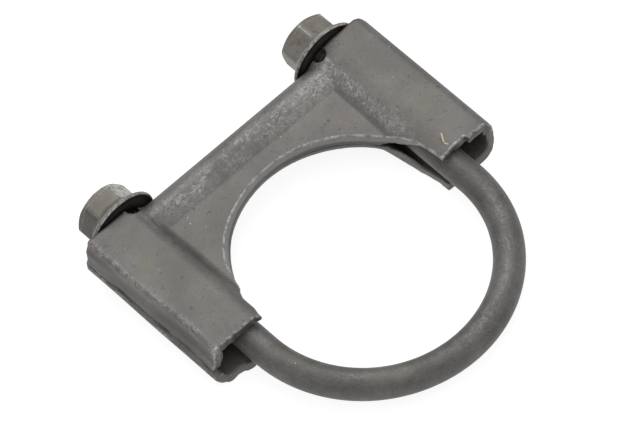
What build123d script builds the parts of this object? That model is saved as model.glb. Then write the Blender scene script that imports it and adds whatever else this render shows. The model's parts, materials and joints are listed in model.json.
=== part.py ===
from build123d import *
from collections import namedtuple
import math
import os

# U-bolt pipe clamp: a bent round bar with two threaded legs, a saddle folded from one strip of
# sheet steel that slides on the legs, and two hexagon flange nuts that draw it against the pipe.
#
# Frame, in millimetres: the origin is the axis of the saddle's round pipe seat, which runs
# along Z. X runs across the clamp from leg to leg, +Y along the legs to the nuts. The bow is
# at -Y. At rest the clamp stands open: the bow's centre is OPEN_GAP short of the seat's axis.

# ---- driving dimensions ----
PIPE_DIAMETER = 63.5          # 2-1/2 inch exhaust pipe
SEAT_CLEARANCE = 0.15         # saddle's seat radius over the pipe's radius
BOW_CLEARANCE = 0.25          # bow's inner radius over the pipe's radius
ROD_DIAMETER = 8.6            # drawn bar, about the pitch diameter of its rolled thread
THREAD_DIAMETER = 9.47        # 3/8-16 UNC, crests
THREAD_LENGTH = 30.0
THREAD_CHAMFER = 1.1
RUNOUT_LENGTH = 1.6           # taper from the bar up to the thread's crests
OPEN_GAP = 7.0                # how far the clamp stands open at rest

SHEET = 2.7                   # saddle's sheet thickness
LAYER_GAP = 0.5               # left between the two layers of the web at the seat
TUBE_HALF_HEIGHT = 7.6        # outside, each side of the legs' plane
TUBE_OUTER_X = 49.5           # outside of the upper layer's flange
LOWER_FLANGE_STEP = 1.0       # the lower layer's flange stands this much further out
SLOPE_FOOT_X = 29.2           # where the web starts to rise into the tube
SLOPE_HEAD_X = 33.8           # where that slope meets the tube's flat top
SLOPE_SHEET = 2.0             # the sheet is drawn thinner there, which clears the leg
UPPER_CORNER_RADIUS = 3.5     # outside of the bend along the tube, upper layer
LOWER_CORNER_RADIUS = 6.0     # and lower layer
END_WALL_Y = 47.0             # outside of the end wall that the nut bears on
END_BEND_RADIUS = 3.0         # bend from the tube's top into the end wall
END_CORNER_RADIUS = 4.0       # upright outer corner of the end wall
UPPER_MOUTH_Y = -1.7          # edge of the upper layer at the bow end
LOWEST_MOUTH_Y = -5.2         # how far the lower layer reaches at the most
OPEN_SIDE_Y = 8.0             # below this the tube's inner side is open

HEM_RADIUS = 5.0              # outside of the fold along the web's far edge
HEM_RIDGE_Y = 41.0            # the hem stays at full height from its bend back to here
WEB_FLAT_Y = 36.5             # and the two layers lie together from here on

LEG_HOLE_RADIUS = 5.35        # hole in the end wall for the leg
NOTCH_WIDTH = 3.2             # relief slot beside the web, over the fold
NOTCH_X = 34.3
NOTCH_BOTTOM_Y = 43.0
SEAM_GAP = 0.3                # between the two flanges on the tube's outer side
SEAM_END_Y = 44.6
SIDE_RELIEF = 0.6             # the pipe cut is this much wider beside the seat, along the tubes

# The strip was folded a little askew, so the two tubes differ in the height of the seam between
# their flanges, and in how far the lower layer reaches at the bow end, nearest and furthest
# from the middle of the clamp.
Side = namedtuple("Side", "seam_z lower_mouth_inner_y lower_mouth_outer_y")
LEFT = Side(-1.6, LOWEST_MOUTH_Y, -2.6)
RIGHT = Side(1.6, -2.7, -2.3)

NUT_ACROSS_FLATS = 14.7
NUT_HEIGHT = 9.4
NUT_FLANGE_RADIUS = 10.9
NUT_FLANGE_RIM = 1.1          # height of the flange's upright rim
NUT_FLANGE_TOP = 3.6          # height at which the flange's cone meets the hexagon
NUT_CONE_TOP_RADIUS = 7.2
NUT_TOP_RADIUS = 7.0          # flat ring on top, inside the chamfered corners
NUT_CHAMFER_ANGLE = 30.0
NUT_THREAD_CLEARANCE = 0.05   # radial, bore over crests
NUT_MOUTH_RADIUS = 5.3        # widest of the countersink at each end of the bore
LEFT_NUT_TURN = 10.0          # first hexagon corner, in degrees from +X towards +Z
RIGHT_NUT_TURN = 40.0
LEG_SHORT_OF_NUT = 0.3        # the leg's end lies this far inside the nut's top at rest

# ---- sizes that follow ----
SEAT_RADIUS = PIPE_DIAMETER / 2 + SEAT_CLEARANCE
BOW_INNER_RADIUS = PIPE_DIAMETER / 2 + BOW_CLEARANCE
ROD_RADIUS = ROD_DIAMETER / 2
THREAD_RADIUS = THREAD_DIAMETER / 2
LEG_X = BOW_INNER_RADIUS + ROD_RADIUS
BOW_CENTRE_Y = -OPEN_GAP
LEG_END_Y = END_WALL_Y + NUT_HEIGHT - LEG_SHORT_OF_NUT
THREAD_START_Y = LEG_END_Y - THREAD_LENGTH
WEB_HALF_HEIGHT = SHEET + LAYER_GAP / 2
HEM_CENTRE_Y = END_WALL_Y - HEM_RADIUS
SLOPE = math.atan2(TUBE_HALF_HEIGHT - WEB_HALF_HEIGHT, SLOPE_HEAD_X - SLOPE_FOOT_X)
INNER_BEND = 0.6              # smallest inside radius of a bend
BEYOND = 5.0                  # how far cutters run past what they cut


def along_y(section, start, end):
    """A section drawn in X and Z, carried along Y from start to end."""
    return extrude(Plane.XZ.offset(-start) * section, amount=-(end - start))


def cylinder_y(x, start, end, radius):
    return along_y(Pos(x, 0) * Circle(radius), start, end)


def turned(points, x):
    """A solid turned about a leg's axis, from its outline as (radius, y) points."""
    outline = make_face(Polyline(*points, close=True))
    return Pos(x, 0, 0) * revolve(outline, axis=Axis.Y)


def threaded_end(x):
    """The thicker thread of one leg, as a cylinder over its crests."""
    return turned(
        [
            (0, THREAD_START_Y - RUNOUT_LENGTH),
            (ROD_RADIUS, THREAD_START_Y - RUNOUT_LENGTH),
            (THREAD_RADIUS, THREAD_START_Y),
            (THREAD_RADIUS, LEG_END_Y - THREAD_CHAMFER),
            (THREAD_RADIUS - THREAD_CHAMFER, LEG_END_Y),
            (0, LEG_END_Y),
        ],
        x,
    )


def u_bolt():
    """Half a ring of round bar, with a straight leg from each end of it."""
    ring = Pos(0, BOW_CENTRE_Y, 0) * Torus(LEG_X, ROD_RADIUS)
    far = LEG_X + ROD_RADIUS + BEYOND
    bow = ring & (Pos(0, BOW_CENTRE_Y - far / 2, 0) * Box(2 * far, far, 4 * ROD_RADIUS))
    bolt = bow
    for x in (-LEG_X, LEG_X):
        bolt += cylinder_y(x, BOW_CENTRE_Y, THREAD_START_Y, ROD_RADIUS)
        bolt += threaded_end(x)
    return bolt


def tube_section(inset, seam_z):
    """The right tube's section. inset 0 gives the outer skin, and the sheet's thickness gives the
    hollow. Below the seam the lower layer's flange stands further out than the upper's."""
    height = TUBE_HALF_HEIGHT - inset
    inset_along_x = inset * SLOPE_SHEET / SHEET / math.sin(SLOPE)
    foot_x = SLOPE_FOOT_X - WEB_HALF_HEIGHT / math.tan(SLOPE) + inset_along_x
    head_x = foot_x + height / math.tan(SLOPE)
    upper_x = TUBE_OUTER_X - inset
    lower_x = upper_x + LOWER_FLANGE_STEP
    upper_radius = max(UPPER_CORNER_RADIUS - inset, INNER_BEND)
    lower_radius = max(LOWER_CORNER_RADIUS - inset, INNER_BEND)
    upper_bend = [(upper_x - upper_radius, height), (upper_x, height - upper_radius)]
    lower_bend = [(lower_x, lower_radius - height), (lower_x - lower_radius, -height)]
    outline = [
        Polyline((foot_x, 0), (head_x, height), upper_bend[0]),
        RadiusArc(*upper_bend, upper_radius),
        Polyline(upper_bend[1], (upper_x, seam_z), (lower_x, seam_z), lower_bend[0]),
        RadiusArc(*lower_bend, lower_radius),
        Polyline(lower_bend[1], (head_x, -height), (foot_x, 0)),
    ]
    return make_face(outline)


def end_rounding(inset):
    """The tube's end as seen along X and along Z: what its rounded bends leave."""
    height = TUBE_HALF_HEIGHT - inset
    end = END_WALL_Y - inset
    bend = max(END_BEND_RADIUS - inset, INNER_BEND)
    corner = max(END_CORNER_RADIUS - inset, INNER_BEND)
    start = LOWEST_MOUTH_Y - 2 * BEYOND
    outer_x = TUBE_OUTER_X + LOWER_FLANGE_STEP - inset
    length = 2 * BEYOND + TUBE_OUTER_X

    from_side = Pos((start + end) / 2, 0) * Rectangle(end - start, 2 * height)
    from_side = fillet(from_side.vertices().group_by(Axis.X)[-1], bend)
    side_view = extrude(Plane.YZ * from_side, amount=length)

    from_top = Pos(outer_x / 2, (start + end) / 2) * Rectangle(outer_x, end - start)
    outer_corner = from_top.vertices().group_by(Axis.X)[-1].sort_by(Axis.Y)[-1]
    from_top = fillet(outer_corner, corner)
    top_view = extrude(from_top, amount=TUBE_HALF_HEIGHT, both=True)
    return side_view & top_view


def tube(inset, seam_z, start):
    """The right tube's envelope from start to the end wall, or with an inset its hollow."""
    return along_y(tube_section(inset, seam_z), start, END_WALL_Y) & end_rounding(inset)


def web(inset, half_width):
    """The folded web between the tubes: two layers that meet in a rounded hem."""
    flat = WEB_HALF_HEIGHT - inset
    full = HEM_RADIUS - inset
    start = LOWEST_MOUTH_Y - BEYOND
    upper = Polyline((start, flat), (WEB_FLAT_Y, flat), (HEM_RIDGE_Y, full), (HEM_CENTRE_Y, full))
    hem = RadiusArc((HEM_CENTRE_Y, full), (HEM_CENTRE_Y, -full), full)
    lower = Polyline((HEM_CENTRE_Y, -full), (HEM_RIDGE_Y, -full), (WEB_FLAT_Y, -flat), (start, -flat))
    outline = make_face([upper, hem, lower, Line((start, -flat), (start, flat))])
    return extrude(Plane.YZ * outline, amount=half_width, both=True)


def mouth_cuts(side):
    """What is off the right tube's bow end: square across above the seam, slanted below it."""
    inner_y = side.lower_mouth_inner_y
    outer_x = TUBE_OUTER_X + LOWER_FLANGE_STEP
    slant = (side.lower_mouth_outer_y - inner_y) / (outer_x - SLOPE_HEAD_X)
    ends_x = (SLOPE_FOOT_X - BEYOND, outer_x + BEYOND)
    deep_y = LOWEST_MOUTH_Y - 2 * BEYOND
    upper_edge = [(x, UPPER_MOUTH_Y) for x in ends_x]
    lower_edge = [(x, inner_y + slant * (x - SLOPE_HEAD_X)) for x in ends_x]
    cuts = []
    for edge, up in ((upper_edge, 1), (lower_edge, -1)):
        outline = make_face(Polyline(*edge, (ends_x[1], deep_y), (ends_x[0], deep_y), close=True))
        block = extrude(outline, amount=2 * TUBE_HALF_HEIGHT, dir=(0, 0, up))
        cuts.append(Pos(0, 0, side.seam_z) * block)
    return cuts[0] + cuts[1]


def end_openings():
    """The leg's hole in the right end wall, and the relief slot over the fold beside it."""
    hole = cylinder_y(LEG_X, END_WALL_Y - 2 * SHEET, END_WALL_Y + BEYOND, LEG_HOLE_RADIUS)
    slot_start = NOTCH_BOTTOM_Y + NOTCH_WIDTH / 2
    slot_end = END_WALL_Y + BEYOND
    slot = Pos(NOTCH_X, (slot_start + slot_end) / 2) * Rectangle(NOTCH_WIDTH, slot_end - slot_start)
    slot += Pos(NOTCH_X, slot_start) * Circle(NOTCH_WIDTH / 2)
    return hole + extrude(slot, amount=2 * TUBE_HALF_HEIGHT, both=True)


def flange_seam(seam_z):
    """The gap between the upper and the lower layer's flanges on the right tube's outer side."""
    start_x = TUBE_OUTER_X - 2 * SHEET
    end_x = TUBE_OUTER_X + BEYOND
    start_y = LOWEST_MOUTH_Y - BEYOND
    centre = Pos((start_x + end_x) / 2, (start_y + SEAM_END_Y) / 2, seam_z)
    return centre * Box(end_x - start_x, SEAM_END_Y - start_y, SEAM_GAP)


def open_side():
    """Clears the tube's inner side near its mouth, where the bow's curve passes through."""
    height = 2 * (TUBE_HALF_HEIGHT - SHEET)
    start_y = LOWEST_MOUTH_Y - BEYOND
    centre = Pos((SLOPE_FOOT_X + LEG_X) / 2, (start_y + OPEN_SIDE_Y) / 2, 0)
    return centre * Box(LEG_X - SLOPE_FOOT_X, OPEN_SIDE_Y - start_y, height)


def both_sides(right_part):
    """right_part makes the right tube's share, and also the left's, which is then mirrored."""
    return right_part(RIGHT) + mirror(right_part(LEFT), about=Plane.YZ)


def tube_skin(side):
    return tube(0, side.seam_z, LOWEST_MOUTH_Y - BEYOND) - mouth_cuts(side)


def tube_hollow(side):
    return tube(SHEET, side.seam_z, LOWEST_MOUTH_Y - 2 * BEYOND)


def tube_cuts(side):
    return end_openings() + flange_seam(side.seam_z) + open_side()


def seat_cut():
    """The U-shaped cut for the pipe: the round seat in the web, a little wider along the tubes,
    with straight sides below the seat's axis."""
    side_radius = SEAT_RADIUS + SIDE_RELIEF
    beyond = 4 * TUBE_HALF_HEIGHT
    cut = Cylinder(SEAT_RADIUS, beyond)
    for up in (-1, 1):
        cut += Pos(0, 0, up * (WEB_HALF_HEIGHT + beyond / 2)) * Cylinder(side_radius, beyond)
    return cut + Pos(0, -side_radius / 2, 0) * Box(2 * side_radius, side_radius, beyond)


def saddle():
    """One strip folded double: a web of two layers, and a tube round each leg."""
    skin = web(0, SLOPE_HEAD_X) + both_sides(tube_skin)
    hollow = web(SHEET, SLOPE_HEAD_X) + both_sides(tube_hollow)
    return skin - hollow - both_sides(tube_cuts) - seat_cut()


def flange_nut(x, corner_angle):
    """A hexagon nut with a wide conical flange, its bearing face on the saddle's end wall."""
    top = END_WALL_Y + NUT_HEIGHT
    corner_radius = NUT_ACROSS_FLATS / math.sqrt(3)
    hexagon = Rotation(0, 0, corner_angle) * RegularPolygon(corner_radius, 6)
    prism = along_y(hexagon, END_WALL_Y, top)
    chamfer_drop = (corner_radius - NUT_TOP_RADIUS) * math.tan(math.radians(NUT_CHAMFER_ANGLE))
    chamfered = turned(
        [
            (0, END_WALL_Y),
            (corner_radius, END_WALL_Y),
            (corner_radius, top - chamfer_drop),
            (NUT_TOP_RADIUS, top),
            (0, top),
        ],
        0,
    )
    flange = turned(
        [
            (0, END_WALL_Y),
            (NUT_FLANGE_RADIUS, END_WALL_Y),
            (NUT_FLANGE_RADIUS, END_WALL_Y + NUT_FLANGE_RIM),
            (NUT_CONE_TOP_RADIUS, END_WALL_Y + NUT_FLANGE_TOP),
            (0, END_WALL_Y + NUT_FLANGE_TOP),
        ],
        0,
    )
    bore_radius = THREAD_RADIUS + NUT_THREAD_CLEARANCE
    mouth_depth = NUT_MOUTH_RADIUS - bore_radius
    bore = turned(
        [
            (0, END_WALL_Y),
            (NUT_MOUTH_RADIUS, END_WALL_Y),
            (bore_radius, END_WALL_Y + mouth_depth),
            (bore_radius, top - mouth_depth),
            (NUT_MOUTH_RADIUS, top),
            (0, top),
        ],
        0,
    )
    return Pos(x, 0, 0) * ((prism & chamfered) + flange - bore)


def main():
    os.makedirs("parts", exist_ok=True)
    nodes = {
        "u_bolt": u_bolt(),
        "saddle": saddle(),
        "nut_left": flange_nut(-LEG_X, LEFT_NUT_TURN),
        "nut_right": flange_nut(LEG_X, RIGHT_NUT_TURN),
    }
    for name, shape in nodes.items():
        export_step(shape, f"parts/{name}.step")


main()
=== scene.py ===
import json
import math

import bpy
import numpy as np
from mathutils import Matrix, Vector


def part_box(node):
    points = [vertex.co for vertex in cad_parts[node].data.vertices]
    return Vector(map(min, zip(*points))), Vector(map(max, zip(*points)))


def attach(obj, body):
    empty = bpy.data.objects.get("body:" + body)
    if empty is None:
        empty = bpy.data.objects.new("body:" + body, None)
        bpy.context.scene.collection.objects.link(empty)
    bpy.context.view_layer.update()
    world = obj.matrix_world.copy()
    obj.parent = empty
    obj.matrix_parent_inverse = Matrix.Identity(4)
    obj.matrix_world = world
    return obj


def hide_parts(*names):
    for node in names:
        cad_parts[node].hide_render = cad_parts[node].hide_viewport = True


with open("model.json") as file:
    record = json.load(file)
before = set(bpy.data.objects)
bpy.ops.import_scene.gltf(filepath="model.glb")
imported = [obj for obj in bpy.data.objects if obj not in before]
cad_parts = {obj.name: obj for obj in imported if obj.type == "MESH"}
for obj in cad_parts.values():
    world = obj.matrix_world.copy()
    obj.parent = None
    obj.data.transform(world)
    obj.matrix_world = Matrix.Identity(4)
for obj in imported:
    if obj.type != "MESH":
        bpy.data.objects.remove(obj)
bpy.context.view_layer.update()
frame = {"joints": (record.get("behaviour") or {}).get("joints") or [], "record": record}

# An exhaust U-bolt clamp of raw dark steel. The mesh code works in millimetres, in the row frame:
# origin on the pipe seat's axis, X from leg to leg, +Y to the nuts, +Z up. Sizes that the CAD and
# the record give are read from the frame, and the rest are the named values below.
MM = 0.001

# ---- read from the frame ----
record = frame["record"]
joints = {joint["name"]: joint for joint in frame["joints"]}
LEG_X, WALL_Y = (value / MM for value in joints["nut_right_turn"]["pos_m"][:2])
PITCH = 2 * math.pi / record["behaviour"]["couplings"][0]["ratio"] / MM
SEAT_R = next(m["dims"]["r_mm"] for m in record["mounts"] if m["name"] == "pipe_seat")


def cad_corners(node):
    """The lowest and the highest corner of a CAD node, in millimetres."""
    return [np.array(corner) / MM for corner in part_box(node)]


bolt_high = cad_corners("u_bolt")[1]
saddle_low, saddle_high = cad_corners("saddle")
nut_high = cad_corners("nut_right")[1]
THREAD_R = bolt_high[0] - LEG_X
LEG_END_Y = bolt_high[1]
TUBE_Z = saddle_high[2]
LOWER_FLANGE_X = saddle_high[0]
FLANGE_R = nut_high[2]
NUT_TOP_Y = nut_high[1]

# ---- the bar ----
BAR_R = 4.3
BOW_Y = -7.0                 # centre of the bow
THREAD_LENGTH = 30.0
THREAD_CHAMFER = 1.1
THREAD_DEPTH = 0.9
BAR_SEGMENTS = 56            # vertices round the bar

# ---- the saddle's sheet ----
SHEET = 2.7
LAYER_GAP = 0.5
WEB_Z = SHEET + LAYER_GAP / 2
HEM_R = 5.0
HEM_Y = WALL_Y - HEM_R
WEB_FLAT_Y = 36.5            # the layers part here, and rise towards the hem
HEM_RISE = 0.40              # per millimetre
HEM_EASE = 0.3               # rounds the ridge where that rise ends
LEFT_SLOPE_FOOT = 29.5       # distance from the middle to where the web rises into the tube
LEFT_SLOPE_HEAD = 33.4       # and to where that slope meets the tube's top
RIGHT_SLOPE_FOOT = 29.1
RIGHT_SLOPE_HEAD = 34.0
RIGHT_LOWER_FOOT = 27.8      # the lower layer of the right tube starts nearer to the pipe
RIGHT_LOWER_HEAD = 31.3
LEG_CLEARANCE_R = 5.05       # the sheet is drawn thinner on the slopes, clear of the leg
RIGHT_FLANGE_X = 49.5        # outside of the upper layer's flanges
LEFT_FLANGE_X = 48.5
LEFT_FLARE = 0.9             # the left one leans outwards by this much at the seam
LEFT_END_BULGE = 0.9         # and bulges by this much beside the end wall
END_BEND = 1.2               # bend from the tube into the end wall
RIGHT_TOP_BEND = 4.2         # bends between a slope and its tube's flat, upper layer on the right
RIGHT_BOTTOM_BEND = 1.6      # lower layer on the right
LEFT_SLOPE_BEND = 1.7        # both layers on the left
RIGHT_SIDE_BEND = 3.4        # bends between a tube's flat and its flange, upper layer on the right
LEFT_SIDE_BEND = 1.5         # upper layer on the left
LOWER_SIDE_BEND = 5.6        # lower layer, both sides
RIGHT_END_CORNER = 4.0       # upright corner between a flange and the end wall
LEFT_END_CORNER = 1.6
RIGHT_CREASE = 0.5           # fillets where the web meets a slope
LEFT_CREASE = 1.0
SEAM_GAP = 0.35
SEAM_END_Y = 44.8
SEAM_DEPTH_X = 44.5          # the slot between the flanges starts this far from the middle
RIGHT_SEAM_Z = 1.9
LEFT_MOUTH_Y = -1.35         # the upper layer's edge at the bow end
RIGHT_MOUTH_Y = -0.75
LEFT_LIP_Y = -4.7            # and the lower layer's
RIGHT_LIP_Y = -2.5
UPPER_SLANT = 0.08           # slope of the upper mouth's cut below the sheet
UPPER_SLANT_TOP = 0.03       # and the other way across the sheet's own thickness
LOWER_SLANT = 0.10           # slope of the lower one
OPEN_SIDE_Y = 6.5            # the layers stand apart at the pipe's side up to here
OPEN_SIDE_FALL = 0.6         # and close up above it at this slope
OPEN_SIDE_X = 20.0           # only outside this distance from the middle
LEG_HOLE_R = 5.35
CUT_X = 0.85                 # the pipe cut was pressed this far off the middle
WEB_UPPER_CUT_R = 31.4
LEFT_UPPER_CUT_R = 31.4
RIGHT_UPPER_CUT_R = 32.1
LOWER_CUT_R = 31.9
CUT_LEAN = 0.25              # how far the upper layer's sheared edge leans outwards
CUT_LEAN_LEFT = 1.0          # and this much more towards the left tube
LEFT_CUT_FLARE = 1.65        # the cut widens by this much at the left mouth
RIGHT_CUT_BULGE = 0.5        # the right lower flange bulges into it by this much
WEB_GAP_Z = -0.9             # the gap between the web's layers, at the seat
NOTCH_X = 33.4
LEFT_NOTCH_HALF_WIDTH = 2.0
RIGHT_NOTCH_HALF_WIDTH = 1.8
NOTCH_Y = 44.2
CUT_ROUND = 0.3              # rounding of the sheet's cut edges: mouths and leg holes
FOLD_ROUND = 0.25            # of the sheet's inner face
SEAT_ROUND = 0.28            # of the pipe cut
SEAM_ROUND = 0.2             # of the flanges at the seam
NOTCH_ROUND = 0.35           # of the relief notches
SADDLE_CELL = 0.445          # grid step of the saddle's mesh

# ---- the nuts ----
ACROSS_FLATS = 14.7
NUT_RIM = 1.1
NUT_CONE_TOP = 3.6
NUT_NECK_R = 7.2
NUT_FACE_R = 7.05
NUT_MOUTH_R = 5.3
NUT_CHAMFER_DEGREES = 33.0   # from the outer end's plane
NUT_THREAD_DEPTH = 0.8
NUT_SEGMENTS = 180
NUT_TURNS = {"nut_left": 10.0, "nut_right": 40.0}   # first hexagon corner, from +X to +Z
# Painted shade on the hexagon's flats that face -X, for each nut.
NUT_FLAT_SHADE = {"nut_left": 0.42, "nut_right": 0.10}    # on the flats that face -X


# ---------------------------------------------------------------- shape helpers
def smoothstep(low, high, value):
    t = np.clip((value - low) / (high - low), 0, 1)
    return t * t * (3 - 2 * t)


def bell(distance, width):
    return np.exp(-((distance / width) ** 2))


def both(a, b, radius):
    """Intersection of two fields, with the edge rounded."""
    corner = np.hypot(np.maximum(a + radius, 0), np.maximum(b + radius, 0))
    return np.minimum(np.maximum(a, b), -radius) + corner


def either(a, b, radius):
    """Union of two fields, with the inner corner filleted."""
    return -both(-a, -b, radius)


def least(a, b, width):
    """The smaller of two values, eased over width where they are close."""
    near = np.maximum(width - np.abs(a - b), 0) / width
    return np.minimum(a, b) - near * near * width / 4


def sway(a, b, c, phase):
    """A smooth, uneven wave of about -1 to 1 over three coordinates in radians."""
    one = np.sin(a + 1.7 * np.sin(0.63 * b + phase)) + np.sin(1.31 * b + 0.83 * c + 2.1 * phase)
    two = np.sin(0.77 * a - 1.13 * b + 1.9 * c + 3.7 * phase)
    return (one + two) / 3


# ---------------------------------------------------------------- the saddle as a field
def slope_lines(y, right, above):
    """Where the slope beside the web starts and ends, as distances from the middle."""
    left_foot = LEFT_SLOPE_FOOT + 0.5 * smoothstep(24.0, 40.0, y)
    right_foot = RIGHT_SLOPE_FOOT + 0.5 * smoothstep(10.0, 36.0, y)
    right_foot = np.where(above, right_foot, RIGHT_LOWER_FOOT)
    right_head = np.where(above, RIGHT_SLOPE_HEAD, RIGHT_LOWER_HEAD)
    return np.where(right, right_foot, left_foot), np.where(right, right_head, LEFT_SLOPE_HEAD)


def seam_height(y, right):
    """Height of the seam between the two flanges. The strip was folded a little askew."""
    left = -1.9 + 0.9 * smoothstep(30, 44, y) - 0.5 * (1 - smoothstep(-4, 12, y))
    return np.where(right, RIGHT_SEAM_Z, left + 0.15 * np.sin(0.45 * y))


def upper_flange(y, z, right):
    """Outside of the upper layer's flange, as a distance from the middle."""
    bow = 0.45 * smoothstep(14, 30, y) - 0.35 * bell(y - 9.0, 7.0)
    flare = (LEFT_FLARE - 0.4 * smoothstep(14, 30, y)) * (1 - smoothstep(-1.9, 1.0, z))
    left = LEFT_FLANGE_X + bow + flare
    left = left + LEFT_END_BULGE * smoothstep(33, 43, y) * (1 - smoothstep(3.5, 6.5, z))
    return np.where(right, RIGHT_FLANGE_X, left)


def skin(x, y, z):
    """Outside of the folded strip: the web with its hem, and a tube on each side."""
    right = x > 0
    u = np.abs(x)
    height = np.abs(z)

    web_z = least(WEB_Z + HEM_RISE * np.maximum(y - WEB_FLAT_Y, 0), HEM_R, HEM_EASE)
    web_z = web_z + 0.08 * sway(0.21 * x, 0.17 * y, 0, 1.0) * (1 - smoothstep(38, 42, y))
    web = np.where(y < HEM_Y, height - web_z, np.hypot(y - HEM_Y, z) - HEM_R)
    web = np.maximum(web, u - LEFT_SLOPE_HEAD)

    foot, head = slope_lines(y, right, z > 0)
    length = np.hypot(head - foot, TUBE_Z - WEB_Z)
    slope = (-(TUBE_Z - WEB_Z) * (u - foot) + (head - foot) * (height - WEB_Z)) / length
    seam = seam_height(y, right)
    lower = 1 - smoothstep(-0.12, 0.12, z - seam)
    upper_side = upper_flange(y, z, right)
    lower_side = LOWER_FLANGE_X - 0.08 + 0.07 * sway(0, 0.16 * y, 0.3 * z, 2.0)
    side = upper_side + (lower_side - upper_side) * lower
    top = TUBE_Z - 0.12 + 0.11 * sway(0.19 * x, 0.11 * y, 0, 3.0)
    right_bend = np.where(z > 0, RIGHT_TOP_BEND, RIGHT_BOTTOM_BEND)
    tube = both(height - top, slope, np.where(right, right_bend, LEFT_SLOPE_BEND))
    upper_bend = np.where(right, RIGHT_SIDE_BEND, LEFT_SIDE_BEND)
    bend = np.where(z > seam, upper_bend, LOWER_SIDE_BEND)
    tube = both(tube, u - side, bend)
    end = y - (WALL_Y - 0.05 * smoothstep(46, 50, u))
    tube = both(tube, end, END_BEND)
    corner = both(u - side, end, np.where(right, RIGHT_END_CORNER, LEFT_END_CORNER))
    tube = np.maximum(tube, corner)
    return either(web, tube, np.where(right, RIGHT_CREASE, LEFT_CREASE))


def mouth(u, right):
    """How far the two layers reach towards the bow, sheared and torn a little unevenly."""
    torn = 0.12 * np.sin(1.9 * u + 0.8 * np.sin(0.9 * u))
    upper_left = LEFT_MOUTH_Y - 0.5 * (1 - smoothstep(32.4, 34.5, u))
    upper_right = RIGHT_MOUTH_Y - 1.0 * smoothstep(41.3, 41.7, u) - 0.5 * smoothstep(47.2, 48.4, u)
    lower_left = LEFT_LIP_Y + 1.0 * smoothstep(40.6, 42.0, u) + 0.9 * smoothstep(46.0, 50.0, u)
    lower_right = RIGHT_LIP_Y + 0.4 * smoothstep(48.0, 50.5, u)
    upper = np.where(right, upper_right, upper_left) + 0.6 * torn
    lower = np.where(right, lower_right, lower_left + torn)
    return upper, lower


def mouth_slant(z, seam):
    """How far the mouth's cut leans back: from the tube's top down, and from its bottom up."""
    depth = TUBE_Z - z
    upper = UPPER_SLANT * np.maximum(depth - SHEET, 0) - UPPER_SLANT_TOP * np.minimum(depth, SHEET)
    return np.where(z > seam, upper, LOWER_SLANT * (TUBE_Z + z))


def seat_gap(x, y, z):
    """Distance outside the pipe cut. The upper layer's sheared edge leans away from the pipe."""
    right = x > 0
    degrees = np.degrees(np.arctan2(y, x))
    lean = CUT_LEAN + CUT_LEAN_LEFT * smoothstep(100, 136, degrees)
    lean = lean * smoothstep(WEB_GAP_Z, WEB_Z, z)
    left_r = LEFT_UPPER_CUT_R + LEFT_CUT_FLARE * (1 - smoothstep(-1.5, 4.5, y))
    tube_r = np.where(right, RIGHT_UPPER_CUT_R, left_r)
    on_tube = np.maximum(smoothstep(3.4, 5.0, z), smoothstep(25.5, 30.0, np.abs(x)))
    upper_r = WEB_UPPER_CUT_R + lean + (tube_r - WEB_UPPER_CUT_R - lean) * on_tube
    bulge = RIGHT_CUT_BULGE * bell(y - 7.0, 4.5) * right * smoothstep(-3.5, -5.5, z)
    cut_r = np.where(z > WEB_GAP_Z, upper_r, LOWER_CUT_R - bulge)
    across = x - CUT_X
    return np.where(y > 0, np.hypot(across, y), np.abs(across)) - cut_r


def saddle_field(x, y, z):
    """Negative inside the folded sheet."""
    right = x > 0
    u = np.abs(x)
    outer = skin(x, y, z)
    from_leg = np.hypot(u - LEG_X, z)
    shift = WEB_GAP_Z * (1 - smoothstep(27, 30, u)) * (1 - smoothstep(36, 38, y))
    hollow = skin(x, y, z - shift) + SHEET
    hollow = np.minimum(hollow, np.maximum(from_leg - LEG_CLEARANCE_R, y - (WALL_Y - SHEET)))
    ceiling = TUBE_Z - SHEET - OPEN_SIDE_FALL * np.maximum(y - OPEN_SIDE_Y, 0)
    open_side = np.maximum(u - LEG_X, np.abs(z) - ceiling)
    hollow = np.minimum(hollow, np.maximum(open_side, OPEN_SIDE_X - u))
    sheet = both(outer, -hollow, FOLD_ROUND)

    seam = seam_height(y, right)
    upper_mouth, lower_mouth = mouth(u, right)
    reach = np.where(z > seam, upper_mouth, lower_mouth)
    sheet = both(sheet, reach + mouth_slant(z, seam) - y, CUT_ROUND)
    sheet = both(sheet, -seat_gap(x, y, z), SEAT_ROUND)

    seam_slot = np.maximum(np.abs(z - seam) - SEAM_GAP / 2, np.maximum(SEAM_DEPTH_X - u, y - SEAM_END_Y))
    sheet = both(sheet, -seam_slot, SEAM_ROUND)

    leg_hole = np.maximum(from_leg - LEG_HOLE_R, WALL_Y - 2 * SHEET - y)
    sheet = both(sheet, -leg_hole, CUT_ROUND)
    half_width = np.where(right, RIGHT_NOTCH_HALF_WIDTH, LEFT_NOTCH_HALF_WIDTH)
    notch = np.hypot(u - NOTCH_X, np.minimum(y - NOTCH_Y - half_width, 0)) - half_width
    return both(sheet, -notch, NOTCH_ROUND)


# ---------------------------------------------------------------- field to mesh
KEEP_CENTRAL = 0.08          # pull of a vertex towards the middle of its crossings
FARTHEST_MOVE = 0.6          # and how far it may leave that, in cells


def gradients(field, points, step=0.02):
    """Unit normals of the field at the points."""
    out = np.empty_like(points)
    for axis in range(3):
        shift = np.zeros(3)
        shift[axis] = step
        ahead = field(*(points + shift).T)
        out[:, axis] = ahead - field(*(points - shift).T)
    return out / np.maximum(np.linalg.norm(out, axis=1, keepdims=True), 1e-9)


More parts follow.
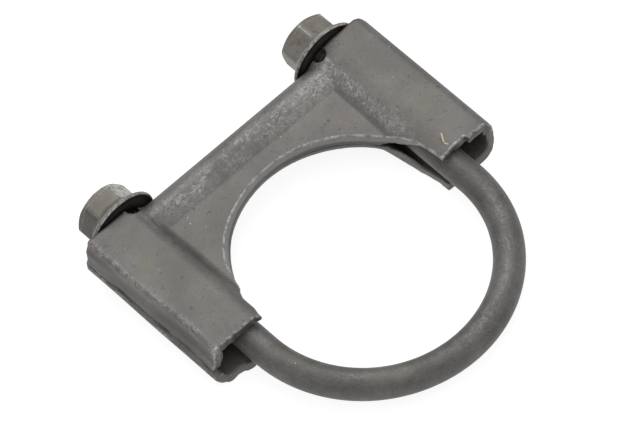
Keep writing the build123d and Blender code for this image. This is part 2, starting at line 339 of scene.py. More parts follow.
def surface_mesh(field, low, high, cell):
    """Dual contouring: one vertex in each cell that the surface crosses, placed on its edges."""
    axes = [np.arange(a, b + cell, cell) for a, b in zip(low, high)]
    values = field(*np.meshgrid(*axes, indexing="ij"))
    cells = tuple(n - 1 for n in values.shape)
    crossings = []
    for axis in range(3):
        first = np.moveaxis(values, axis, 0)[:-1]
        second = np.moveaxis(values, axis, 0)[1:]
        i, j, k = np.nonzero((first < 0) != (second < 0))
        a, b = first[i, j, k], second[i, j, k]
        others = [n for n in range(3) if n != axis]
        index = np.empty((len(i), 3))
        index[:, axis] = i + a / (a - b)
        index[:, others[0]], index[:, others[1]] = j, k
        corner = np.empty((len(i), 3), int)
        corner[:, axis], corner[:, others[0]], corner[:, others[1]] = i, j, k
        crossings.append((axis, others, corner, low + index * cell, a < 0))

    every = np.concatenate([c[3] for c in crossings])
    normals = gradients(field, every)
    ids, points_at, normals_at, faces = [], [], [], []
    start = 0
    for axis, others, corner, where, solid_first in crossings:
        normal = normals[start:start + len(where)]
        start += len(where)
        ring = []
        for d0, d1 in ((1, 1), (0, 1), (0, 0), (1, 0)):
            near = corner.copy()
            near[:, others[0]] -= d0
            near[:, others[1]] -= d1
            flat = np.ravel_multi_index(near.T, cells, mode="clip")
            ring.append(flat)
            ids.append(flat)
            points_at.append(where)
            normals_at.append(normal)
        quad = np.stack(ring, axis=1)
        turn = solid_first == (axis != 1)
        quad[~turn] = quad[~turn][:, ::-1]
        faces.append(quad)

    ids = np.concatenate(ids)
    points_at = np.concatenate(points_at)
    normals_at = np.concatenate(normals_at)
    active, slot = np.unique(ids, return_inverse=True)
    count = np.bincount(slot).astype(float)

    def summed(values):
        return np.stack([np.bincount(slot, v) for v in values.T], axis=1)

    centre = summed(points_at) / count[:, None]
    offset = np.sum(normals_at * (points_at - centre[slot]), axis=1)
    right_side = summed(normals_at * offset[:, None])
    outer = (normals_at[:, :, None] * normals_at[:, None, :]).reshape(-1, 9)
    matrix = summed(outer).reshape(-1, 3, 3) + KEEP_CENTRAL * np.eye(3)
    move = np.linalg.solve(matrix, right_side[:, :, None])[:, :, 0]
    points = centre + np.clip(move, -FARTHEST_MOVE * cell, FARTHEST_MOVE * cell)
    faces = np.searchsorted(active, np.concatenate(faces))
    return points, faces


def quad_neighbours(faces, count):
    """For each vertex, the edges to its neighbours, as two index arrays and a count."""
    a = np.concatenate([faces[:, n] for n in range(4)])
    b = np.concatenate([faces[:, (n + 1) % 4] for n in range(4)])
    start, end = np.concatenate([a, b]), np.concatenate([b, a])
    return start, end, np.bincount(start, minlength=count).astype(float)


def neighbour_mean(values, start, end, number):
    columns = [np.bincount(start, values[end, n], minlength=len(number)) for n in range(values.shape[1])]
    return np.stack(columns, axis=1) / number[:, None]


def edge_mask(points, faces, normals, reach):
    """How convex the surface is at each vertex, from 0 on flats to about 1 on sharp edges."""
    start, end, number = quad_neighbours(faces, len(points))
    mean = neighbour_mean(points, start, end, number)
    bend = np.sum((points - mean) * normals, axis=1) / reach
    bend = bend[:, None]
    for _ in range(2):
        bend = 0.5 * bend + 0.5 * neighbour_mean(bend, start, end, number)
    return np.clip(bend[:, 0], 0, 1)


def make_object(name, points, faces, **attributes):
    """A smooth-shaded mesh object in metres, with its float or vector attributes."""
    mesh = bpy.data.meshes.new(name)
    mesh.from_pydata((points * MM).tolist(), [], [list(map(int, face)) for face in faces])
    mesh.validate()
    mesh.polygons.foreach_set("use_smooth", np.ones(len(mesh.polygons), bool))
    for key, values in attributes.items():
        kind = "FLOAT" if values.ndim == 1 else "FLOAT_VECTOR"
        layer = mesh.attributes.new(key, kind, "POINT")
        layer.data.foreach_set("value" if kind == "FLOAT" else "vector", values.astype(np.float32).ravel())
    piece = bpy.data.objects.new(name, mesh)
    bpy.context.scene.collection.objects.link(piece)
    return piece


# ---------------------------------------------------------------- the pieces
def build_saddle():
    pad = 2 * SADDLE_CELL
    points, faces = surface_mesh(saddle_field, saddle_low - pad, saddle_high + pad, SADDLE_CELL)
    normals = gradients(saddle_field, points)
    x, y, z = points.T
    u = np.abs(x)
    above, left, right = z > 0, x < 0, x > 0
    edge = edge_mask(points, faces, normals, 0.16)
    # Painted shade inside the tubes.
    inside = smoothstep(-1.9, -2.5, skin(x, y, z)) * smoothstep(-6.0, 8.0, y)
    foot, head = slope_lines(y, right, above)

    # Scuffed areas. The hem's share also serves as a painted highlight on its ridge, because the material
    # lightens the whole mask a little.
    hem = bell(y - 40.4, 2.9) * above * (u < head) * (0.65 + 0.35 * smoothstep(8, 26, x))
    right_slope = bell(u - 32.3, 2.0) * above * right * smoothstep(2, 22, y) * (z > WEB_Z + 0.2)
    fold = bell(u - 31.8, 1.8) * bell(y - 42.0, 3.0) * above * right
    ridge = bell(u - upper_flange(y, TUBE_Z, right) + 0.8, 0.8) * left * (z > 4.5)
    column = left * bell(y + 1.0, 1.2) * (u > 46.5) * (z > -2.2)
    scuff = np.clip(1.05 * hem + 0.75 * right_slope + fold + 0.55 * ridge + 0.5 * column, 0, 1)

    # Painted shade, put into the colour: on the left slope, along the crease at each slope's foot and the
    # line where the web starts to rise, in a band on the left tube's side, on the end wall and in the
    # notches, as a shadow line between the web's layers at the seat, on the end faces at the mouths, and
    # as a broad darkening of the left half and near the mouths.
    on_slope = smoothstep(WEB_Z, WEB_Z + 1.0, z) * (1 - smoothstep(6.0, 7.3, z))
    left_slope = on_slope * left * bell(u - 31.2, 1.2) * (1 - 0.6 * smoothstep(20, 34, y))
    crease = bell(u - foot, 0.38) * above * (y < 38)
    hem_line = bell(y - WEB_FLAT_Y, 0.4) * above * (u < foot)
    band = left * (u > 47.2) * smoothstep(-0.4, 0.9, z) * (1 - smoothstep(5.4, 6.6, z))
    wall = smoothstep(45.9, 46.5, y) * (u > RIGHT_SLOPE_HEAD - 3)
    near_notch = (y > NOTCH_Y - 1) * (np.abs(u - NOTCH_X) < LEFT_NOTCH_HALF_WIDTH + 0.4)
    in_notch = near_notch * (normals[:, 2] < 0.6) * above
    gap = seat_gap(x, y, z)
    between = smoothstep(WEB_GAP_Z - 1.2, WEB_GAP_Z - 0.7, z) * (z < WEB_GAP_Z + 0.1)
    between = between * (gap < 0.7) * (y > 8)
    end_face = (normals[:, 1] < -0.6) * (u > NOTCH_X - 2) * (y < 1)
    broad_shade = (0.09 * left + 0.15 * (u > RIGHT_SLOPE_FOOT) * (1 - smoothstep(3, 17, y))) * (z > WEB_Z - 0.5)
    grime = 0.40 * left_slope + 0.32 * crease + 0.18 * hem_line + 0.42 * band + broad_shade
    grime = grime + 0.95 * wall + 0.9 * in_notch + 0.85 * between + 0.5 * end_face
    grime = np.clip(grime, 0, 1)

    sheared = bell(gap, 0.25) * above * (y > 0)
    # Painted highlight lines along the pipe cut's top edge and the upper layer's mouth edge, added to the
    # convex edges' wear.
    rim = bell(gap - 0.25, 0.22) * (z > 2.4) * smoothstep(-0.2, 0.5, normals[:, 2]) * (y > -1)
    seam = seam_height(y, right)
    from_lip = y - mouth(u, right)[0] - mouth_slant(z, seam) - 0.1
    lip = bell(from_lip, 0.32) * (skin(x, y, z) > -0.3) * (z > seam)
    edge = np.clip(edge + 0.9 * rim + 2.4 * lip, 0, 1)
    stain = bell(x + 41, 5.5) * bell(y - 29, 6.5) + 0.8 * bell(x - 40, 4.5) * bell(y - 8, 6.0)
    wear_and_glint = scuff * (1 - inside)
    masks = {"edge": edge, "inside": inside, "scuff": wear_and_glint, "grime": grime}
    masks.update({"sheared": sheared, "stain": stain * above})
    return make_object("saddle_folded", points, faces, **masks)


def thread_depth(phase, depth):
    """Depth below the crest, over one pitch for each unit of phase, with small flats."""
    from_crest = np.abs((phase % 1.0) - 0.5) * 2
    return depth * (1 - np.clip((from_crest - 0.12) / 0.66, 0, 1))


def ring_grid_faces(rings, segments):
    """Quads between successive rings of vertices."""
    here = (np.arange(rings - 1)[:, None] * segments + np.arange(segments)).ravel()
    after = here + np.where(here % segments == segments - 1, 1 - segments, 1)
    return np.stack([here, here + segments, after + segments, after], axis=1)


def bar_path():
    """Rings along the bar: where each is, which way is outwards, and how far it is from an end."""
    straight = LEG_END_Y - BOW_Y
    total = 2 * straight + math.pi * LEG_X
    thread = np.arange(0, THREAD_LENGTH + 3, PITCH / 9)
    plain = np.arange(thread[-1] + 0.7, total - thread[-1] - 0.5, 1.1)
    along = np.concatenate([thread, plain, total - thread[::-1]])
    bend = np.clip((along - straight) / LEG_X, 0, math.pi)
    outward = np.stack([-np.cos(bend), -np.sin(bend)], axis=1)
    from_end = np.minimum(along, total - along)
    centre = LEG_X * outward
    centre[:, 1] += np.maximum(LEG_END_Y - from_end, BOW_Y)
    return along, outward, centre, from_end


def build_bolt():
    """One bar, swept from the left leg's end round the bow to the right leg's end."""
    along, outward, centre, from_end = bar_path()
    angle = np.arange(BAR_SEGMENTS) * 2 * math.pi / BAR_SEGMENTS
    s, a = np.meshgrid(along, angle, indexing="ij")
    end_distance = from_end[:, None] + 0 * a
    # measured about +Y from +Z towards +X on both legs, so that both helices are right-handed
    about_leg = np.where(outward[:, :1] < 0, a, -a)
    phase = (LEG_END_Y - end_distance) / PITCH - about_leg / (2 * math.pi)
    threaded = 1 - smoothstep(THREAD_LENGTH - 0.4, THREAD_LENGTH + 1.4, end_distance)
    plain_r = BAR_R - 0.03 + 0.03 * sway(0.16 * s, 2 * np.sin(a), 2 * np.cos(a), 1.3)
    crest = np.minimum(THREAD_R, THREAD_R - THREAD_CHAMFER + end_distance)
    cut = np.minimum(THREAD_R - thread_depth(phase, THREAD_DEPTH), crest)
    radius = plain_r + (cut - plain_r) * threaded

    sideways = radius * np.sin(a)
    flat = centre[:, None, :] - outward[:, None, :] * sideways[:, :, None]
    points = np.concatenate([flat, (radius * np.cos(a))[:, :, None]], axis=2).reshape(-1, 3)
    unrolled = np.stack([s, BAR_R * np.sin(a), BAR_R * np.cos(a)], axis=2).reshape(-1, 3)
    faces = [ring_grid_faces(len(along), BAR_SEGMENTS)]
    first_ring = np.arange(BAR_SEGMENTS)
    for ring, flip in ((first_ring, False), (first_ring + len(points) - BAR_SEGMENTS, True)):
        middle = points[ring].mean(axis=0)
        for share, sink in ((0.88, 0.02), (0.6, 0.10), (0.25, 0.14), (0.02, 0.14)):
            inner_ring = middle + (points[ring] - middle) * share - [0, sink, 0]
            start = len(points)
            points = np.concatenate([points, inner_ring])
            unrolled = np.concatenate([unrolled, inner_ring])
            inner = start + first_ring
            band = np.stack([ring, np.roll(ring, -1), np.roll(inner, -1), inner], axis=1)
            faces.append(band[:, ::-1] if flip else band)
            ring = inner
            middle = points[ring].mean(axis=0)
    extra = len(points) - threaded.size
    thread = np.concatenate([threaded.ravel(), np.ones(extra)])
    rub_and_highlight = bell(np.sin(a), 0.36) * (1 - threaded)
    level = LEG_END_Y - end_distance
    # Painted shade on the leg where it runs inside the tube.
    tucked = smoothstep(7, 15, level) * (1 - smoothstep(WALL_Y + 1, WALL_Y + 3, level))
    masks = {"bar": unrolled * MM, "thread": thread}
    masks["scuff"] = np.concatenate([rub_and_highlight.ravel(), np.zeros(extra)])
    masks["grime"] = np.concatenate([0.8 * tucked.ravel(), np.zeros(extra)])
    return make_object("bar_bent", points, np.concatenate(faces), **masks)


def nut_rows(corner_angle, angle):
    """The nut's surface as rings of (radius, height): bearing face, flange, hexagon, top, bore."""
    full = np.ones(len(angle))
    height = NUT_TOP_Y - WALL_Y
    off_corner = (angle - math.radians(corner_angle)) % (math.pi / 3) - math.pi / 6
    hexagon = ACROSS_FLATS / 2 / np.cos(off_corner)
    hexagon = least(hexagon, ACROSS_FLATS / math.sqrt(3) - 0.15, 0.5)
    rows = [(NUT_MOUTH_R + 0.1, 0.05), (7.0, 0.10), (8.6, 0.14), (9.8, 0.08)]   # slightly dished
    rim = NUT_RIM / 2
    for turn in np.radians(np.linspace(-90, 50, 9)):
        rows.append((FLANGE_R - rim - 0.02 + rim * math.cos(turn), rim + rim * math.sin(turn)))
    rim_r, rim_h = rows[-1]
    slant = math.tan(math.radians(NUT_CHAMFER_DEGREES))
    for h in np.concatenate([np.linspace(rim_h + 0.15, 5.6, 20), np.linspace(6.2, height - 0.04, 22)]):
        fall = (h - rim_h) / (NUT_CONE_TOP - rim_h)
        cone = rim_r - (rim_r - NUT_NECK_R) * fall ** 0.85
        body = least(hexagon, NUT_FACE_R + (height - h) / slant, 0.25)
        rows.append((-least(-body, -cone, 0.9), h))
    rows += [(NUT_FACE_R - 0.25, height), (NUT_MOUTH_R + 0.4, height - 0.03), (NUT_MOUTH_R, height - 0.1)]
    about_leg = math.pi / 2 - angle
    for h in np.arange(height - 0.3, 0.25, -PITCH / 9):
        phase = (WALL_Y + h) / PITCH - about_leg / (2 * math.pi)
        wall = THREAD_R + 0.06 - thread_depth(phase + 0.5, NUT_THREAD_DEPTH)
        countersink = NUT_MOUTH_R - min(h, height - h)
        rows.append((np.maximum(wall, countersink), h))
    return [(radius * full, level * full) for radius, level in rows]


def build_nut(node, x_leg, corner_angle):
    """A pressed hexagon nut with a wide flange, threaded in phase with its leg."""
    angle = np.arange(NUT_SEGMENTS) * 2 * math.pi / NUT_SEGMENTS      # from +X towards +Z
    rows = nut_rows(corner_angle, angle)
    radius, level = (np.stack(part) for part in zip(*rows))
    points = np.stack([x_leg + radius * np.cos(angle), WALL_Y + level, radius * np.sin(angle)], axis=2)
    points = points.reshape(-1, 3)
    ring = np.arange(NUT_SEGMENTS)
    last = ring + (len(rows) - 1) * NUT_SEGMENTS
    closing = np.stack([last, ring, np.roll(ring, -1), np.roll(last, -1)], axis=1)
    faces = np.concatenate([ring_grid_faces(len(rows), NUT_SEGMENTS), closing])
    normals = vertex_normals(points, faces)
    edge = edge_mask(points, faces, normals, 0.05)
    out = radius.ravel()
    height = level.ravel()
    # Painted highlight lines along both edges of the flange's rim.
    on_rim = smoothstep(FLANGE_R - 0.8, FLANGE_R - 0.3, out)
    edge = np.clip(edge + on_rim * (bell(height - NUT_RIM, 0.22) + 0.7 * bell(height - 0.15, 0.15)), 0, 1)
    # Painted shade on the bearing face, in the bore's mouth, and on the flats that face -X.
    grime = (1 - smoothstep(0.05, 0.35, height)) * (1 - smoothstep(FLANGE_R - 0.6, FLANGE_R - 0.3, out))
    in_mouth = (out < NUT_MOUTH_R + 0.3) * (height < 3)
    grime = np.maximum(grime, 0.95 * in_mouth)
    on_flats = height > NUT_RIM
    grime = np.maximum(grime, NUT_FLAT_SHADE[node] * smoothstep(0.25, 0.9, -normals[:, 0]) * on_flats)
    # Painted highlight on the flats that face +X and on the chamfer.
    rub_and_highlight = 0.9 * smoothstep(0.35, 0.75, normals[:, 0]) * (out > NUT_FACE_R)
    chamfer_highlight = smoothstep(0.2, 0.5, normals[:, 1]) * (out > NUT_FACE_R) * (height > NUT_CONE_TOP + 2)
    line = 0.5 * bell(height - height.max() + 1.5, 0.16) * (out > NUT_FACE_R)
    edge = edge * (1 - grime) + np.maximum(rub_and_highlight, 0.8 * chamfer_highlight) * on_flats + line
    edge = np.clip(edge, 0, 1)
    return make_object(node + "_flanged", points, faces, edge=edge, grime=grime)


def vertex_normals(points, faces):
    diagonal_a = points[faces[:, 2]] - points[faces[:, 0]]
    diagonal_b = points[faces[:, 3]] - points[faces[:, 1]]
    face_normals = np.cross(diagonal_a, diagonal_b)
    corners = np.repeat(face_normals[:, None, :], 4, axis=1).reshape(-1, 3)
    index = faces.reshape(-1)
    columns = [np.bincount(index, corners[:, n], minlength=len(points)) for n in range(3)]
    total = np.stack(columns, axis=1)
    return total / np.maximum(np.linalg.norm(total, axis=1, keepdims=True), 1e-12)


# ---------------------------------------------------------------- materials
class Steel:
    """A bare steel surface, put together from noise at several scales and the masks on the mesh."""

    def __init__(self, name):
        self.material = bpy.data.materials.new(name)
        self.material.use_nodes = True
        self.tree = self.material.node_tree
        self.shader = self.tree.nodes["Principled BSDF"]
        self.place = self.node("ShaderNodeTexCoord").outputs["Object"]

    def node(self, kind, **settings):
        made = self.tree.nodes.new(kind)
        for key, value in settings.items():
            setattr(made, key, value)
        return made

    def connect(self, socket, value):
        if isinstance(value, bpy.types.NodeSocket):
            self.tree.links.new(value, socket)
        else:
            socket.default_value = value

    def attribute(self, name, vector=False):
        made = self.node("ShaderNodeAttribute", attribute_name=name)
        return made.outputs["Vector" if vector else "Fac"]

    def stretched(self, place, scale, shift=(0, 0, 0)):
        made = self.node("ShaderNodeMapping")
        self.connect(made.inputs["Vector"], place)
        made.inputs["Scale"].default_value = scale
        made.inputs["Location"].default_value = shift
        return made.outputs["Vector"]

    def noise(self, size_mm, detail=3.0, rough=0.55, warp=0.0, place=None, shift=0.0):
        """Noise whose features are about size_mm across."""
        made = self.node("ShaderNodeTexNoise")
        at = self.stretched(place or self.place, (1, 1, 1), (shift, 0.7 * shift, 1.3 * shift))
        self.connect(made.inputs["Vector"], at)
        made.inputs["Scale"].default_value = 1 / (size_mm * MM)
        made.inputs["Detail"].default_value = detail
        made.inputs["Roughness"].default_value = rough
        made.inputs["Distortion"].default_value = warp
        return made.outputs["Fac"]

    def step(self, value, low, high, to_low=0.0, to_high=1.0):
        made = self.node("ShaderNodeMapRange", interpolation_type="SMOOTHSTEP")
        self.connect(made.inputs["Value"], value)
        for key, number in zip(("From Min", "From Max", "To Min", "To Max"), (low, high, to_low, to_high)):
            made.inputs[key].default_value = number
        return made.outputs["Result"]

    def calc(self, operation, a, b=0.0):
        made = self.node("ShaderNodeMath", operation=operation)
        self.connect(made.inputs[0], a)
        self.connect(made.inputs[1], b)
        return made.outputs[0]

    def mix(self, share, a, b, blend="MIX"):
        made = self.node("ShaderNodeMix", data_type="RGBA", blend_type=blend)
        self.connect(made.inputs["Factor"], share)
        for key, value in (("A", a), ("B", b)):
            socket = next(i for i in made.inputs if i.name == key and i.type == "RGBA")
            self.connect(socket, value if isinstance(value, bpy.types.NodeSocket) else (*value, 1))
        return next(o for o in made.outputs if o.type == "RGBA")

    def overlay(self, share, colour, noise, dark):
        """Darkens and lightens a colour by a noise, between the grey dark and its opposite."""
        grey = self.mix(self.step(noise, 0.3, 0.7), (dark,) * 3, (round(1 - dark, 2),) * 3)
        return self.mix(share, colour, grey, "OVERLAY")

    def bump(self, height, depth_mm, strength, normal=None):
        made = self.node("ShaderNodeBump")
        made.inputs["Strength"].default_value = strength
        made.inputs["Distance"].default_value = depth_mm * MM
        self.connect(made.inputs["Height"], height)
        if normal is not None:
            self.connect(made.inputs["Normal"], normal)
        return made.outputs["Normal"]

    def stroke(self, start, end, width_mm):
        """A straight mark on a level face, between two points in millimetres."""
        start, along = Vector(start) * MM, (Vector(end) - Vector(start)) * MM
        level = (1, 1, STROKE_FLATTEN)
        away = self.vector("MULTIPLY", self.vector("SUBTRACT", self.place, start), level)
        share = self.calc("DIVIDE", self.vector("DOT_PRODUCT", away, along), along.length_squared)
        share = self.calc("MINIMUM", self.calc("MAXIMUM", share, 0.0), 1.0)
        back = self.vector("SCALE", along, share)
        off_line = self.vector("LENGTH", self.vector("SUBTRACT", away, back))
        return self.step(off_line, 0.3 * width_mm * MM, 0.6 * width_mm * MM, 1.0, 0.0)

    def vector(self, operation, a, b=None):
        made = self.node("ShaderNodeVectorMath", operation=operation)
        self.connect(made.inputs[0], a)
        if b is not None:
            self.connect(made.inputs["Scale" if operation == "SCALE" else 1], b)
        return made.outputs["Value" if operation in ("DOT_PRODUCT", "LENGTH") else "Vector"]

    def finish(self, colour, roughness, normal, metallic):
        self.connect(self.shader.inputs["Base Color"], colour)
        self.connect(self.shader.inputs["Roughness"], roughness)
        self.connect(self.shader.inputs["Normal"], normal)
        self.shader.inputs["Metallic"].default_value = metallic
        return self.material


DARK = (0.120, 0.113, 0.107)
PALE = (0.158, 0.149, 0.141)
OLIVE = (0.140, 0.140, 0.104)
RUST = (0.125, 0.070, 0.040)
BRIGHT = (0.50, 0.49, 0.48)
# Dark of pits, and of painted shade.
PITS_AND_SHADE = (0.040, 0.038, 0.036)
DUST = (0.50, 0.50, 0.48)
GOUGE = (0.55, 0.48, 0.34)
BAR_DARK = (0.090, 0.085, 0.080)
BAR_PALE = (0.122, 0.116, 0.110)
THREAD_STEEL = (0.24, 0.235, 0.22)
NUT_DARK = (0.112, 0.103, 0.088)
NUT_PALE = (0.200, 0.188, 0.166)
# Painted shade in the nut's bore, on its bearing face and on the flats facing -X.
CAVITY_SHADE = (0.016, 0.012, 0.009)
METALLIC = 0.40              # the oxide skin is only partly metallic
STROKE_FLATTEN = 0.05        # a scratch follows small dents in the face


def weathered(steel, place, dark=DARK, pale=PALE, rust_amount=0.75):
    """Colour of the oxide skin: soft mottling, a fine grain, faint olive stains and rust dots."""
    broad = steel.step(steel.noise(17, 3, 0.6, 0.4, place), 0.32, 0.68)
    colour = steel.mix(broad, dark, pale)
    fine = steel.noise(2.6, 5, 0.7, 0.3, place, 0.3)
    colour = steel.overlay(0.45, colour, fine, 0.36)
    grain = steel.noise(0.45, 3, 0.75, 0.0, place, 0.6)
    colour = steel.overlay(0.40, colour, grain, 0.34)
    stain = steel.step(steel.noise(11, 3, 0.6, 0.8, place, 0.9), 0.55, 0.72, 0.0, 0.45)
    colour = steel.mix(stain, colour, OLIVE)
    dots = steel.step(steel.noise(1.5, 4, 0.6, 0.6, place, 1.4), 0.62, 0.70)
    dots = steel.calc("MULTIPLY", dots, steel.step(steel.noise(14, 2, 0.5, 0, place, 2.2), 0.46, 0.60))
    colour = steel.mix(steel.calc("MULTIPLY", dots, rust_amount), colour, RUST)
    pits = steel.step(steel.noise(1.1, 2, 0.5, 0.9, place, 5.3), 0.65, 0.70, 0.0, 0.55)
    colour = steel.mix(pits, colour, PITS_AND_SHADE)
    dust = steel.step(steel.noise(0.85, 1, 0.5, 0.0, place, 3.1), 0.775, 0.80, 0.0, 0.6)
    return steel.mix(dust, colour, DUST), fine, grain


def abraded(steel, place, amount, patch_mm=6.0):
    """Light speckle and fine curved scratches where the surface has scraped against something."""
    speckle = steel.step(steel.noise(1.0, 5, 0.75, 0.8, place, 1.9), 0.48, 0.62)
    waves = steel.noise(3.2, 3, 0.6, 1.4, place, 4.2)
    off_line = steel.calc("ABSOLUTE", steel.calc("SUBTRACT", waves, 0.5))
    scratches = steel.step(off_line, 0.006, 0.028, 1.0, 0.0)
    patch = steel.step(steel.noise(patch_mm, 3, 0.6, 0.5, place, 2.7), 0.34, 0.60)
    marks = steel.calc("MAXIMUM", steel.calc("MULTIPLY", speckle, 0.75), scratches)
    return steel.calc("MULTIPLY", amount, steel.calc("MULTIPLY", patch, marks))


def saddle_steel():
    steel = Steel("saddle_steel")
    place = steel.place
    colour, fine, grain = weathered(steel, place)
    smear = steel.step(fine, 0.25, 0.75, 0.65, 1.0)
    blotch = steel.step(steel.noise(5.0, 3, 0.6, 0.6, place, 7.1), 0.42, 0.62, 0.1, 0.75)
    colour = steel.mix(steel.calc("MULTIPLY", steel.attribute("stain"), blotch), colour, OLIVE)
    # Painted shade from the mesh's mask, made uneven by the fine noise.
    shade_share = steel.calc("MULTIPLY", steel.attribute("grime"), smear)
    colour = steel.mix(shade_share, colour, PITS_AND_SHADE)
    cut = steel.calc("MULTIPLY", steel.attribute("sheared"), smear)
    colour = steel.mix(steel.calc("MULTIPLY", cut, 0.20), colour, BRIGHT)
    # A faint even lightening of the scuffed areas: wear, and on the hem's ridge a painted highlight.
    colour = steel.mix(steel.calc("MULTIPLY", steel.attribute("scuff"), 0.07), colour, BRIGHT)
    rub_and_highlight = abraded(steel, place, steel.attribute("scuff"))
    colour = steel.mix(steel.calc("MULTIPLY", rub_and_highlight, 0.85), colour, BRIGHT)
    rust_stroke = steel.stroke((36.5, 3.7, TUBE_Z), (36.0, 2.0, TUBE_Z), 0.5)
    colour = steel.mix(steel.calc("MULTIPLY", rust_stroke, 0.6), colour, RUST)
    gouge = steel.stroke((37.7, 4.3, TUBE_Z), (36.5, 2.2, TUBE_Z), 0.40)
    nick = steel.stroke((36.4, 1.7, TUBE_Z), (36.7, 0.9, TUBE_Z), 0.35)
    marks = steel.calc("MAXIMUM", gouge, nick)
    colour = steel.mix(steel.calc("MULTIPLY", marks, 0.75), colour, GOUGE)
    # Edge wear on convex edges, and painted highlight lines along the pipe cut's top edge and the mouths'
    # edges, broken up by noise.
    edge = steel.step(steel.attribute("edge"), 0.25, 0.8)
    wear_and_glint = steel.calc("MULTIPLY", edge, steel.step(steel.noise(1.6, 4, 0.7, 0.5, place, 0.2), 0.36, 0.60))
    colour = steel.mix(steel.calc("MULTIPLY", wear_and_glint, 0.6), colour, BRIGHT)
    # Painted shade inside the tubes.
    colour = steel.mix(steel.calc("MULTIPLY", steel.attribute("inside"), 0.75), colour, PITS_AND_SHADE)
    roughness = steel.step(fine, 0.25, 0.75, 0.46, 0.62)
    roughness = steel.calc("SUBTRACT", roughness, steel.calc("MULTIPLY", wear_and_glint, 0.10))
    normal = steel.bump(fine, 0.05, 0.35)
    normal = steel.bump(grain, 0.03, 0.45, normal)
    normal = steel.bump(rub_and_highlight, 0.03, 0.5, normal)
    return steel.finish(colour, roughness, normal, METALLIC)


def rod_steel():
    steel = Steel("rod_steel")
    bar = steel.attribute("bar", vector=True)
    colour, fine, grain = weathered(steel, bar, BAR_DARK, BAR_PALE, 0.3)
    along = steel.stretched(bar, (0.12, 1.0, 1.0))
    drawn = steel.noise(1.1, 4, 0.6, 0.0, along, 0.8)
    colour = steel.overlay(0.35, colour, drawn, 0.38)
    rub_and_highlight = abraded(steel, steel.stretched(bar, (0.6, 1, 1)), steel.attribute("scuff"), 11.0)
    colour = steel.mix(steel.calc("MULTIPLY", rub_and_highlight, 0.25), colour, BRIGHT)
    colour = steel.mix(steel.calc("MULTIPLY", steel.attribute("thread"), 0.35), colour, THREAD_STEEL)
    # Painted shade where the leg runs inside the tube.
    colour = steel.mix(steel.attribute("grime"), colour, PITS_AND_SHADE)
    roughness = steel.step(drawn, 0.25, 0.75, 0.48, 0.62)
    normal = steel.bump(drawn, 0.04, 0.4)
    normal = steel.bump(grain, 0.02, 0.4, normal)
    normal = steel.bump(rub_and_highlight, 0.03, 0.4, normal)
    return steel.finish(colour, roughness, normal, METALLIC)


def nut_steel():
    steel = Steel("nut_steel")
    place = steel.place
    colour, fine, grain = weathered(steel, place, NUT_DARK, NUT_PALE, 0.9)
    # Painted shade from the mesh's mask.
    colour = steel.mix(steel.attribute("grime"), colour, CAVITY_SHADE)
    # Edge wear, with painted highlights on the rim, the flats facing +X and the chamfer, broken up by
    # noise.
    edge = steel.step(steel.attribute("edge"), 0.2, 0.8)
    wear_and_glint = steel.calc("MULTIPLY", edge, steel.step(steel.noise(1.4, 4, 0.7, 0.5, place, 0.5), 0.38, 0.56))
    colour = steel.mix(steel.calc("MULTIPLY", wear_and_glint, 0.8), colour, BRIGHT)
    roughness = steel.step(fine, 0.25, 0.75, 0.42, 0.60)
    normal = steel.bump(fine, 0.06, 0.4)
    normal = steel.bump(grain, 0.03, 0.4, normal)
    return steel.finish(colour, roughness, normal, METALLIC)


# ---------------------------------------------------------------- put together
def mount_piece(piece, node, body, material):
    piece.data.materials.append(material)
    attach(piece, body)
    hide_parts(node)


mount_piece(build_saddle(), "saddle", "saddle", saddle_steel())
mount_piece(build_bolt(), "u_bolt", "u_bolt", rod_steel())
nut_material = nut_steel()
for node, x_leg in (("nut_left", -LEG_X), ("nut_right", LEG_X)):
    nut = build_nut(node, x_leg, NUT_TURNS[node])
    mount_piece(nut, node, node, nut_material)


# ---------------------------------------------------------------- floor, light and camera
FLOOR_SIZE = 6.0             # metres
FLOOR_GLOW = 0.86            # a softly lit table
HORIZON_LIGHT = 0.32
OVERHEAD_LIGHT = 1.08


def make_floor():
    """A pale floor under the flanges' rims and the saddle's mouth, which is how the clamp lies."""
    back = Vector((0, WALL_Y + NUT_RIM / 2, -FLANGE_R)) * MM
    front = Vector((0, LEFT_LIP_Y, -TUBE_Z)) * MM
    tilt = math.atan2(front.z - back.z, back.y - front.y)
    bpy.ops.mesh.primitive_plane_add(size=FLOOR_SIZE)
    floor = bpy.context.object
    floor.name = "floor"
    floor.matrix_world = Matrix.Translation(back) @ Matrix.Rotation(-tilt, 4, "X")
    material = bpy.data.materials.new("floor_paper")
    material.use_nodes = True
    tree = material.node_tree
    shader = tree.nodes["Principled BSDF"]
    noise = tree.nodes.new("ShaderNodeTexNoise")
    noise.inputs["Scale"].default_value = 300.0
    ramp = tree.nodes.new("ShaderNodeMapRange")
    ramp.inputs["To Min"].default_value = 0.80
    ramp.inputs["To Max"].default_value = 0.90
    tree.links.new(noise.outputs["Fac"], ramp.inputs["Value"])
    tree.links.new(ramp.outputs["Result"], shader.inputs["Roughness"])
    shader.inputs["Base Color"].default_value = (0.25, 0.25, 0.25, 1)
    shader.inputs["Specular IOR Level"].default_value = 0.1
    shader.inputs["Emission Color"].default_value = (1, 1, 1, 1)
    shader.inputs["Emission Strength"].default_value = FLOOR_GLOW
    floor.data.materials.append(material)


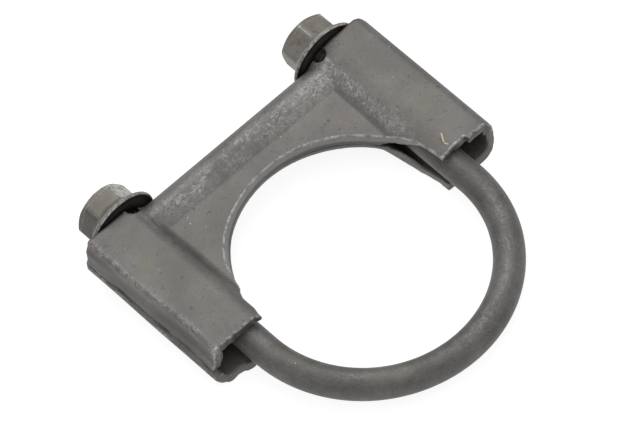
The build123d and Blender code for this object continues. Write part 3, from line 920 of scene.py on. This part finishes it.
def aim(thing, at, azimuth, elevation, distance, roll=0.0):
    """Puts a camera or lamp on a sphere round a point, looking at it. Azimuth 0 looks along +Y."""
    az, el = math.radians(azimuth), math.radians(elevation)
    away = Vector((math.sin(az) * math.cos(el), -math.cos(az) * math.cos(el), math.sin(el)))
    right = (-away).cross(Vector((0, 0, 1))).normalized()
    up = right.cross(-away)
    turn = math.radians(roll)
    across = right * math.cos(turn) + up * math.sin(turn)
    up = up * math.cos(turn) - right * math.sin(turn)
    place = Matrix((across, up, away)).transposed().to_4x4()
    thing.matrix_world = Matrix.Translation(Vector(at) + away * distance) @ place


def add_lamp(name, size, watts, azimuth, elevation, distance):
    lamp = bpy.data.lights.new(name, "AREA")
    lamp.shape = "DISK"
    lamp.size = size
    lamp.energy = watts
    holder = bpy.data.objects.new(name, lamp)
    bpy.context.scene.collection.objects.link(holder)
    aim(holder, (0, 0, 0), azimuth, elevation, distance)


def make_world():
    """Soft white light all round, brightest overhead."""
    world = bpy.data.worlds.new("studio")
    world.use_nodes = True
    tree = world.node_tree
    background = tree.nodes["Background"]
    background.inputs["Color"].default_value = (1, 1, 1, 1)
    direction = tree.nodes.new("ShaderNodeTexCoord")
    parts = tree.nodes.new("ShaderNodeSeparateXYZ")
    ramp = tree.nodes.new("ShaderNodeMapRange")
    ramp.inputs["To Min"].default_value = HORIZON_LIGHT
    ramp.inputs["To Max"].default_value = OVERHEAD_LIGHT
    tree.links.new(direction.outputs["Generated"], parts.inputs["Vector"])
    tree.links.new(parts.outputs["Z"], ramp.inputs["Value"])
    tree.links.new(ramp.outputs["Result"], background.inputs["Strength"])
    bpy.context.scene.world = world


make_floor()
make_world()
add_lamp("top_softbox", 1.2, 7.0, 150, 58, 1.3)
bpy.context.scene.view_settings.view_transform = "Standard"

CAMERA_AIM = (0.00183, 0.01308, 0)
CAMERA_AZIMUTH = -36.34
CAMERA_ELEVATION = 57.19
CAMERA_DISTANCE = 1.6836     # metres
CAMERA_ROLL = -8.47
camera_data = bpy.data.cameras.new("camera")
camera_data.lens = 366.33
camera_data.sensor_width = 36.0
camera_data.clip_start = 0.05
camera_data.clip_end = 20.0
camera = bpy.data.objects.new("camera", camera_data)
bpy.context.scene.collection.objects.link(camera)
aim(camera, CAMERA_AIM, CAMERA_AZIMUTH, CAMERA_ELEVATION, CAMERA_DISTANCE, CAMERA_ROLL)
bpy.context.scene.camera = camera
